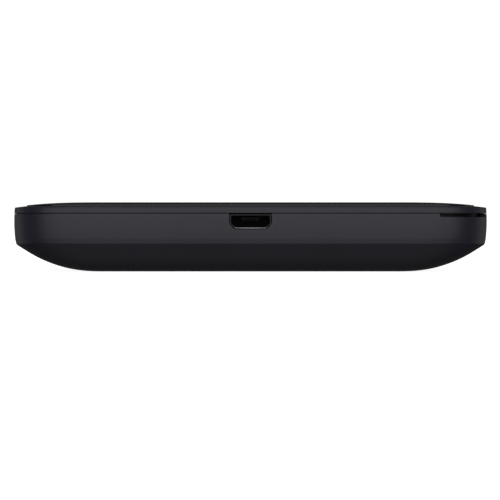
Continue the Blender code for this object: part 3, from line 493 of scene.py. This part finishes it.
moulding("battery_skin", (0.020, 0.020, 0.022), (0.036, 0.036, 0.039), 0.36, 0.52, 0.6 * MM, 0.008 * MM)
moulding("card", (0.78, 0.78, 0.76), (0.88, 0.88, 0.86), 0.36, 0.48, 0.25 * MM, 0.002 * MM)
moulding("adhesive", (0.07, 0.07, 0.07), (0.12, 0.12, 0.12), 0.62, 0.82, 0.4 * MM, 0.01 * MM)
print("finishes with mouldings:", len(FINISHES))

# %% [markdown]
# The labels are blank matt paper with fibres, the pads are open foam, and the board is green
# solder mask over copper. The copper shows through the mask as slightly lighter lines, so a
# brick pattern with thin mortar draws the traces and a Voronoi draws the round vias.

# %% Paper, foam and board
paper_label = finish("label", (0.72, 0.72, 0.70), 0.65)
fibres = noise(paper_label, 0.5 * MM, 5, (1, 0.2, 1), radians(35))
blotch(paper_label, fibres, (0.64, 0.64, 0.61), (0.76, 0.76, 0.74))
rough(paper_label, spread(paper_label, fibres, 0.58, 0.78))
emboss(paper_label, fibres, 0.006 * MM, 0.5)

foam = finish("foam", (0.045, 0.045, 0.047), 0.9)
cells = grains(foam, 0.5 * MM)
blotch(foam, cells, (0.015, 0.015, 0.016), (0.065, 0.065, 0.068), 0.0, 0.6)
rough(foam, spread(foam, cells, 0.98, 0.82, 0.0, 0.6))
emboss(foam, cells, 0.15 * MM, 0.8)

board = finish("board", (0.012, 0.075, 0.036), 0.38)
bricks = add_node(board, "ShaderNodeTexBrick", [("Vector", place(board))])
bricks.inputs["Scale"].default_value = 1 / (2.2 * MM)
bricks.inputs["Mortar Size"].default_value = 0.035
bricks.inputs["Mortar Smooth"].default_value = 0.2
bricks.inputs["Color1"].default_value = (0, 0, 0, 1)
bricks.inputs["Color2"].default_value = (0, 0, 0, 1)
bricks.inputs["Mortar"].default_value = (1, 1, 1, 1)
mask = blotch(board, noise(board, 12 * MM, 3), (0.009, 0.060, 0.028), (0.014, 0.085, 0.042))
traced = blend_colour(board, bricks.outputs["Fac"], mask, (0.035, 0.16, 0.075))
vias = spread(board, grains(board, 1.9 * MM), 1.0, 0.0, 0.10, 0.14)
blend_colour(board, vias, traced, (0.55, 0.42, 0.20))
rough(board, spread(board, noise(board, 3 * MM, 4), 0.30, 0.46))
emboss(board, combine(board, "MAXIMUM", bricks.outputs["Fac"], vias), 0.03 * MM, 0.5)
print("finishes:", sorted(FINISHES))

# %% [markdown]
# Each CAD node arrives with a plain material named after its slot, so giving it the real finish
# is one look-up. The receptacle's tongue and contacts get darker finishes of their own: painted
# shade for the shadow deep in its mouth, over the tongue's own black plastic and the contacts' gold.

# %% Dress the CAD nodes
for node_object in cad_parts.values():
    slots = node_object.data.materials
    for index, plain in enumerate(slots):
        slots[index] = FINISHES[plain.name.split(".")[0]]
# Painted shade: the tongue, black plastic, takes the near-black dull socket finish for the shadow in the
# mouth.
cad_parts["usb_tongue"].data.materials[0] = FINISHES["socket_black"]
for number in range(1, 6):
    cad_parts[f"usb_contact_{number}"].data.materials[0] = FINISHES["gold_in_painted_shade"]
print("dressed", len(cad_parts), "nodes")

# %% [markdown]
# The case pieces are built again with many more steps than the frame has, because long smooth
# highlights show every facet. Their shape is the frame's own: the same arcs, read from the
# frame's boxes and the design's few radii.

# %% Case shape
HALF_X, HALF_Y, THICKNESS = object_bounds()[1]
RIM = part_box("rear_cover")[1].z
CORNER_RADIUS = 14.3 * MM
CORNER_TAPER = 0.76
WALL = 1.2 * MM
UNDERSIDE_RADIUS = 25.0 * MM
FLANK_SLOPE = radians(33.5)
FLANK_RUN = 2.2 * MM
CREASE_RADIUS = 0.8 * MM
BARREL_RADIUS = 35.0 * MM
WIDEST = RIM - 1.5 * MM
RIM_EDGE = 0.1 * MM
CROWN_RADIUS = 95.0 * MM
CROWN_RUN = 13.0 * MM
print("rim at", round(RIM / MM, 3), "mm, case", round(THICKNESS / MM, 2), "mm thick")


def barrel_inset(z):
    """How far the side wall draws in at a height, from its widest line."""
    return (z - WIDEST) ** 2 / (2 * BARREL_RADIUS)


def crown_drop(inset):
    """How far the face lies under its flat middle, at an inset from the case's edge."""
    run = max(CROWN_RUN - inset, 0)
    return CROWN_RADIUS - sqrt(CROWN_RADIUS ** 2 - run ** 2)


CREASE = UNDERSIDE_RADIUS * (1 - cos(FLANK_SLOPE)) + FLANK_RUN * tan(FLANK_SLOPE)
FLAT_INSET = barrel_inset(CREASE) + FLANK_RUN + UNDERSIDE_RADIUS * sin(FLANK_SLOPE)


# %% [markdown]
# A case skin is a stack of rounded rectangles. The first ring is a capped circle whose vertices
# are moved onto the outline. Each next ring is an extrusion of the last one's edges, moved on to
# its own inset, height and corner radius, which a plain spin could not give.

# %% Ring tools
CORNER_SEGMENTS = 22


def outline(inset, z, radius):
    """Points round a rounded rectangle, drawn in from the case's widest outline."""
    points = []
    for quarter, (side_x, side_y) in enumerate(((1, 1), (-1, 1), (-1, -1), (1, -1))):
        centre_x = side_x * (HALF_X - inset - radius)
        centre_y = side_y * (HALF_Y - inset - radius)
        for step in range(CORNER_SEGMENTS + 1):
            angle = pi / 2 * (quarter + step / CORNER_SEGMENTS)
            points.append((centre_x + radius * cos(angle), centre_y + radius * sin(angle), z))
    return points


def next_ring(bm, ring, edges):
    """Extrude a ring of edges and return the new vertices in the same order, and their edges."""
    grown = bmesh.ops.extrude_edge_only(bm, edges=edges)["geom"]
    fresh = {item for item in grown if isinstance(item, bmesh.types.BMVert)}
    matched = []
    for vert in ring:
        across = [edge.other_vert(vert) for edge in vert.link_edges]
        matched.append(next(other for other in across if other in fresh))
    made = [item for item in grown if isinstance(item, bmesh.types.BMEdge)]
    return matched, [edge for edge in made if all(vert in fresh for vert in edge.verts)]


def loft(profile):
    """Skin a stack of rings, given as (inset, z, radius), and close both ends."""
    bm = bmesh.new()
    count = 4 * (CORNER_SEGMENTS + 1)
    ring = bmesh.ops.create_circle(bm, cap_ends=True, segments=count, radius=1)["verts"]
    edges = bm.edges[:]
    for index, level in enumerate(profile):
        if index:
            ring, edges = next_ring(bm, ring, edges)
        for vert, point in zip(ring, outline(*level)):
            vert.co = point
    bmesh.ops.contextual_create(bm, geom=edges)
    bmesh.ops.recalc_face_normals(bm, faces=bm.faces)
    return bm


def into_object(bm, name, slot=None, angle=30):
    """Put a bmesh in the scene with its finish and smooth shading up to an angle."""
    mesh = bpy.data.meshes.new(name)
    bm.to_mesh(mesh)
    bm.free()
    if slot:
        mesh.materials.append(FINISHES[slot])
    mesh.shade_smooth()
    mesh.set_sharp_from_angle(angle=radians(angle))
    piece = bpy.data.objects.new(name, mesh)
    scene.collection.objects.link(piece)
    return piece


def arc(centre_inset, centre_z, radius, start, end, steps):
    """(inset, z) points on an arc. Angle 0 points outwards and angle 90 points up."""
    points = []
    for step in range(steps + 1):
        angle = radians(start + (end - start) * step / steps)
        points.append((centre_inset - radius * cos(angle), centre_z + radius * sin(angle)))
    return points


print("rings of", 4 * (CORNER_SEGMENTS + 1), "points")


# %% [markdown]
# The rear cover is the deep tray. From the flat middle of its underside an arc climbs to the
# flank, the flank meets the side wall in a small round, and the wall is barrelled so that it is
# widest just under the rim. The inner skin follows one wall thickness inside.

# %% Rear cover skin
def outer_profile():
    flat = FLAT_INSET
    points = []
    for step in range(19):
        angle = FLANK_SLOPE * step / 18
        points.append((flat - UNDERSIDE_RADIUS * sin(angle), UNDERSIDE_RADIUS * (1 - cos(angle))))
    ease = CREASE_RADIUS * tan((pi / 2 - FLANK_SLOPE) / 2)
    centre_inset = barrel_inset(CREASE) + CREASE_RADIUS
    points += arc(centre_inset, CREASE + ease, CREASE_RADIUS, -56.5, 0, 6)
    start = CREASE + ease
    for step in range(1, 13):
        z = start + (RIM - RIM_EDGE - start) * step / 12
        points.append((barrel_inset(z), z))
    rim_inset = barrel_inset(RIM)
    points += arc(rim_inset + RIM_EDGE, RIM - RIM_EDGE, RIM_EDGE, 22, 90, 3)
    return [(inset, z, CORNER_RADIUS - CORNER_TAPER * inset) for inset, z in points]


def inner_profile():
    flat = FLAT_INSET
    radius = UNDERSIDE_RADIUS - WALL
    points = []
    for step in range(9):
        angle = FLANK_SLOPE * step / 8
        inset = flat - radius * sin(angle)
        outer_inset = flat - UNDERSIDE_RADIUS * sin(angle)
        corner = CORNER_RADIUS - CORNER_TAPER * outer_inset - (inset - outer_inset)
        points.append((inset, UNDERSIDE_RADIUS - radius * cos(angle), corner))
    crease_inset = barrel_inset(CREASE) + WALL
    crease = points[-1][1] + (points[-1][0] - crease_inset) * tan(FLANK_SLOPE)
    corner = CORNER_RADIUS - CORNER_TAPER * (crease_inset - WALL) - WALL
    points.append((crease_inset, crease, corner))
    for step in range(1, 7):
        z = crease + (RIM - RIM_EDGE - crease) * step / 6
        inset = barrel_inset(z)
        points.append((inset + WALL, z, CORNER_RADIUS - CORNER_TAPER * inset - WALL))
    edge_inset = barrel_inset(RIM) + WALL - RIM_EDGE
    points.append((edge_inset, RIM, points[-1][2] + RIM_EDGE))
    return points


cover = into_object(loft(outer_profile() + inner_profile()[::-1]),
                    "rear_cover_skin", "case_plastic")
print("cover skin:", len(cover.data.polygons), "faces")

# %% [markdown]
# The cuts in the rim are made as a toolmaker would, with a body that is taken away: one for the
# receptacle, one finger notch round a corner, and one for each key. A Boolean modifier does the
# cutting, its result is kept as the mesh, and the cutter is thrown away.

# %% Cutting tools
OVERRUN = 1 * MM
CLEAR = 0.3 * MM


def settle(piece, *tools):
    """Keep a piece's modified shape as its own mesh, and remove the tools used on it."""
    bpy.context.view_layer.update()
    shaped = piece.evaluated_get(bpy.context.evaluated_depsgraph_get())
    piece.data = bpy.data.meshes.new_from_object(shaped)
    piece.modifiers.clear()
    for tool in tools:
        bpy.data.objects.remove(tool, do_unlink=True)


def carve(piece, tools, operation="DIFFERENCE"):
    """Cut tools out of a piece, or join them to it, all in one go."""
    for tool in tools:
        step = piece.modifiers.new("carve", "BOOLEAN")
        step.operation = operation
        step.solver = "EXACT"
        step.object = tool
    settle(piece, *tools)


def tidy(piece, angle=30):
    """Merge doubles and set which edges stay sharp."""
    bm = bmesh.new()
    bm.from_mesh(piece.data)
    bmesh.ops.remove_doubles(bm, verts=bm.verts, dist=0.002 * MM)
    bmesh.ops.dissolve_degenerate(bm, edges=bm.edges, dist=0.001 * MM)
    bm.to_mesh(piece.data)
    bm.free()
    piece.data.shade_smooth()
    piece.data.set_sharp_from_angle(angle=radians(angle))


def block(low, high, edge=0.0, segments=3):
    """A bmesh box between two corners, with its edges rounded."""
    bm = bmesh.new()
    bmesh.ops.create_cube(bm, size=1)
    size = Vector(high) - Vector(low)
    middle = (Vector(high) + Vector(low)) / 2
    bmesh.ops.scale(bm, vec=size, verts=bm.verts)
    bmesh.ops.translate(bm, vec=middle, verts=bm.verts)
    if edge:
        bmesh.ops.bevel(
            bm, geom=bm.edges, offset=edge, segments=segments, profile=0.5,
            affect="EDGES", material=-1,
        )
    return bm


# %% [markdown]
# The receptacle's outline is a wide top over a narrower foot. It is drawn once as six corners,
# grown by an amount, and its corners are bevelled as vertices. The notch uses the same outline
# a little larger, run up through the rim.

# %% Receptacle outline
usb_low, usb_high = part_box("usb_shell")
USB_FOOT_HALF = 3.1 * MM
USB_SHOULDER = 1.05 * MM
USB_CORNER = 0.35 * MM
NOTCH_GAP = 0.14 * MM


def receptacle_body(grow, front, back, top=None):
    """The receptacle's outline, grown by an amount, run from one y to another."""
    half = usb_high.x + grow
    foot = USB_FOOT_HALF + 0.6 * grow
    roof = (usb_high.z if top is None else top) + grow
    sill = usb_low.z - grow
    shoulder = usb_low.z + USB_SHOULDER
    corners = [(half, roof), (-half, roof), (-half, shoulder), (-foot, sill), (foot, sill)]
    corners.append((half, shoulder))
    bm = bmesh.new()
    verts = [bm.verts.new((x, front, z)) for x, z in corners]
    bm.faces.new(verts)
    bmesh.ops.bevel(
        bm, geom=verts, offset=0.8 * USB_CORNER, offset_type="OFFSET", segments=6,
        profile=0.5, affect="VERTICES", material=-1,
    )
    grown = bmesh.ops.extrude_face_region(bm, geom=bm.faces[:])["geom"]
    moved = [item for item in grown if isinstance(item, bmesh.types.BMVert)]
    bmesh.ops.translate(bm, vec=(0, back - front, 0), verts=moved)
    bmesh.ops.recalc_face_normals(bm, faces=bm.faces)
    return bm


def notch_tool():
    body = receptacle_body(NOTCH_GAP, -HALF_Y - OVERRUN, -HALF_Y + 2 * WALL, RIM + CLEAR)
    return into_object(body, "notch_tool")


print("receptacle", [round(size / MM, 2) for size in usb_high - usb_low], "mm")

# %% [markdown]
# The finger notch is a low gap that runs round one corner of the rim, for a fingernail.
# Its cutter is a flat sector whose lower edge is slightly shorter, so that its ends slant.

# %% Finger notch and key notches
NOTCH_DEPTH = 1.3 * MM
NOTCH_HEIGHT = 0.7 * MM
NOTCH_START = -77.0
NOTCH_END = -14.0
NOTCH_SLANT = 1.2
NOTCH_STEPS = 24
KEY_FLANGE_LAP = 0.9 * MM
KEY_GAP = 0.15 * MM


def finger_tool():
    centre = Vector((HALF_X - CORNER_RADIUS, -HALF_Y + CORNER_RADIUS, 0))
    bm = bmesh.new()
    rows = []
    for z, slant in ((RIM - NOTCH_HEIGHT, NOTCH_SLANT), (RIM + CLEAR, 0)):
        outline = []
        for radius, order in ((CORNER_RADIUS - NOTCH_DEPTH, 1), (CORNER_RADIUS + OVERRUN, -1)):
            for step in range(NOTCH_STEPS + 1)[::order]:
                start = NOTCH_START + slant
                angle = radians(start + (NOTCH_END - slant - start) * step / NOTCH_STEPS)
                outline.append(centre + Vector((radius * cos(angle), radius * sin(angle), z)))
        rows.append(bm.faces.new([bm.verts.new(point) for point in outline]))
    edges = [edge for row in rows for edge in row.edges]
    bmesh.ops.bridge_loops(bm, edges=edges)
    bmesh.ops.recalc_face_normals(bm, faces=bm.faces)
    return into_object(bm, "finger_tool")


def key_tool(node):
    low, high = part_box(node)
    middle = (low.x + high.x) / 2
    half = (high.x - low.x) / 2 - KEY_FLANGE_LAP + KEY_GAP
    corner_low = (middle - half, HALF_Y - 2 * WALL, low.z - KEY_GAP)
    corner_high = (middle + half, HALF_Y + OVERRUN, RIM + 0.5 * MM)
    return into_object(block(corner_low, corner_high), node + "_tool")


carve(cover, [notch_tool(), finger_tool(), key_tool("power_key"), key_tool("wps_key")])
tidy(cover)
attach(cover, "rear_cover")
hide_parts("rear_cover")
print("cover with its notches:", len(cover.data.polygons), "faces")

# %% [markdown]
# The front housing is the thin band above the seam. Its rounded shoulder leads to a ledge that
# follows the crown one step below the face. Inside it has a plate, a locating skirt and four
# screw bosses, all of which show when the cover is off.

# %% Front housing
PANEL_PROUD = 0.2 * MM
BAND_EDGE = 0.2 * MM
BAND_HEIGHT = 1.19 * MM
LEDGE = 2.3 * MM
RECESS_DEPTH = 0.41 * MM
PLATE = 0.8 * MM
SKIRT = 0.9 * MM
SKIRT_GAP = 0.3 * MM
SKIRT_DEPTH = 2.2 * MM
BOSS_RADIUS = 1.9 * MM
SCREW_BORE = 0.95 * MM
SCREW_BORE_DEPTH = 2.3 * MM
LIGHT_BORE = 1.2 * MM
SKIRT_GAP_ENDS = 0.6 * MM


def ledge_height(inset):
    return THICKNESS - crown_drop(inset) - PANEL_PROUD


BAND_TOP = ledge_height(0)
BAND_BOTTOM = BAND_TOP - BAND_HEIGHT
RECESS_FLOOR = BAND_TOP - RECESS_DEPTH
PLATE_BOTTOM = RECESS_FLOOR - PLATE
SKIRT_END = PLATE_BOTTOM - SKIRT_DEPTH
SKIRT_INSET = barrel_inset(RIM) + WALL + SKIRT_GAP


def housing_profile():
    inner = SKIRT_INSET + SKIRT
    low = barrel_inset(BAND_BOTTOM)
    high = barrel_inset(BAND_TOP)
    shoulder = high + BAND_EDGE
    points = [(inner, PLATE_BOTTOM), (inner, SKIRT_END), (SKIRT_INSET, SKIRT_END)]
    points.append((SKIRT_INSET, BAND_BOTTOM))
    points += arc(low + RIM_EDGE, BAND_BOTTOM + RIM_EDGE, RIM_EDGE, -90, -18, 3)
    top = ledge_height(shoulder)
    for step in range(1, 4):
        z = BAND_BOTTOM + RIM_EDGE + (top - BAND_EDGE - BAND_BOTTOM - RIM_EDGE) * step / 4
        points.append((barrel_inset(z), z))
    points += arc(shoulder, top - BAND_EDGE, BAND_EDGE, 0, 84, 5)
    for step in range(1, 7):
        inset = shoulder + (LEDGE - shoulder) * step / 6
        points.append((inset, ledge_height(inset)))
    points.append((LEDGE, RECESS_FLOOR))
    return [(inset, z, CORNER_RADIUS - inset) for inset, z in points]


def post(low, high, radius, place, segments=32):
    """A bmesh cylinder with its place in its mesh, used as a tool or a boss."""
    bm = bmesh.new()
    bmesh.ops.create_circle(bm, cap_ends=True, segments=segments, radius=radius)
    bmesh.ops.translate(bm, vec=(place[0], place[1], low), verts=bm.verts)
    grown = bmesh.ops.extrude_face_region(bm, geom=bm.faces[:])
    moved = [item for item in grown["geom"] if isinstance(item, bmesh.types.BMVert)]
    bmesh.ops.translate(bm, vec=(0, 0, high - low), verts=moved)
    bmesh.ops.recalc_face_normals(bm, faces=bm.faces)
    return bm


housing = into_object(loft(housing_profile()), "front_housing_skin", "housing_plastic")
board_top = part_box("main_board")[1].z


def middle_of(node):
    low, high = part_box(node)
    return (low + high) / 2


screws = [middle_of(f"case_screw_{number}") for number in range(1, 5)]
lights = [middle_of(f"light_guide_{number}") for number in range(1, 5)]
plate_middle = PLATE_BOTTOM + PLATE / 2
bosses = [
    into_object(post(board_top + CLEAR, plate_middle, BOSS_RADIUS, at), "boss") for at in screws
]
carve(housing, bosses, "UNION")
tools = [
    into_object(post(board_top, board_top + SCREW_BORE_DEPTH, SCREW_BORE, at), "hole")
    for at in screws
]
tools += [
    into_object(post(PLATE_BOTTOM - OVERRUN, THICKNESS + OVERRUN, LIGHT_BORE, at), "hole")
    for at in lights
]
skirt_middle = HALF_Y - SKIRT_INSET - SKIRT / 2
gaps = [(0.0, usb_high.x, -skirt_middle)]
for key in ("power_key", "wps_key"):
    key_low, key_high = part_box(key)
    gaps.append(((key_low.x + key_high.x) / 2, (key_high.x - key_low.x) / 2, skirt_middle))
for x, half, y in gaps:
    low = (x - half - SKIRT_GAP_ENDS, y - SKIRT / 2 - CLEAR, SKIRT_END - CLEAR)
    high = (x + half + SKIRT_GAP_ENDS, y + SKIRT / 2 + CLEAR, PLATE_BOTTOM - 0.01 * MM)
    tools.append(into_object(block(low, high), "gap"))
carve(housing, tools)
tidy(housing)
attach(housing, "front_half")
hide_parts("front_housing")
print("housing:", len(housing.data.polygons), "faces")

# %% [markdown]
# The face is one crowned sheet with a finely rounded edge. It stands a hair above the ledge, so
# a thin bright line runs along its edge. Four round windows let the status lights through.

# %% Front panel
PANEL_GROOVE = 0.2 * MM
PANEL_EDGE = 0.06 * MM


def panel_profile():
    edge = LEDGE + PANEL_GROOVE
    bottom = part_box("front_panel")[0].z
    shoulder = edge + PANEL_EDGE
    top = THICKNESS - crown_drop(shoulder)
    points = [(edge, bottom)]
    points += arc(shoulder, top - PANEL_EDGE, PANEL_EDGE, 0, 84, 4)
    for step in range(1, 15):
        inset = shoulder + (CROWN_RUN - shoulder) * step / 14
        points.append((inset, THICKNESS - crown_drop(inset)))
    return [(inset, z, CORNER_RADIUS - CORNER_TAPER * inset) for inset, z in points]


panel = into_object(loft(panel_profile()), "front_panel_skin", "panel_gloss")
windows = [
    into_object(post(PLATE_BOTTOM, THICKNESS + OVERRUN, LIGHT_BORE, at), "hole") for at in lights
]
carve(panel, windows)
tidy(panel)
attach(panel, "front_half")
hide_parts("front_panel")
print("panel:", len(panel.data.polygons), "faces")

# %% [markdown]
# The receptacle's shell is folded from thin plated sheet. Its outline is run back as one body,
# and the same outline, smaller by the sheet's thickness, is taken out of it. The two rims of the
# mouth are rounded, and they catch the light as a thin bright line.

# %% Receptacle shell
SHEET = 0.24 * MM
MOUTH_EDGE = 0.07 * MM


def round_mouth(piece):
    """Round the sharp rims at the mouth's plane, inside and outside."""
    bm = bmesh.new()
    bm.from_mesh(piece.data)
    bmesh.ops.remove_doubles(bm, verts=bm.verts, dist=0.001 * MM)
    at_mouth = [vert for vert in bm.verts if vert.co.y < usb_low.y + 0.01 * MM]
    rims = {edge for vert in at_mouth for edge in vert.link_edges if edge.calc_face_angle(0) > 1}
    bmesh.ops.bevel(
        bm, geom=list(rims), offset=MOUTH_EDGE, segments=3, profile=0.5, affect="EDGES",
        material=-1,
    )
    bm.to_mesh(piece.data)
    bm.free()
    piece.data.shade_smooth()
    piece.data.set_sharp_from_angle(angle=radians(40))


shell_body = receptacle_body(0, usb_low.y, usb_high.y)
shell = into_object(shell_body, "receptacle_shell", "dark_nickel")
pocket = into_object(receptacle_body(-SHEET, usb_low.y - OVERRUN, usb_high.y - SHEET), "pocket")
carve(shell, [pocket])
round_mouth(shell)
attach(shell, "front_half")
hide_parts("usb_shell")
print("shell:", len(shell.data.polygons), "faces")
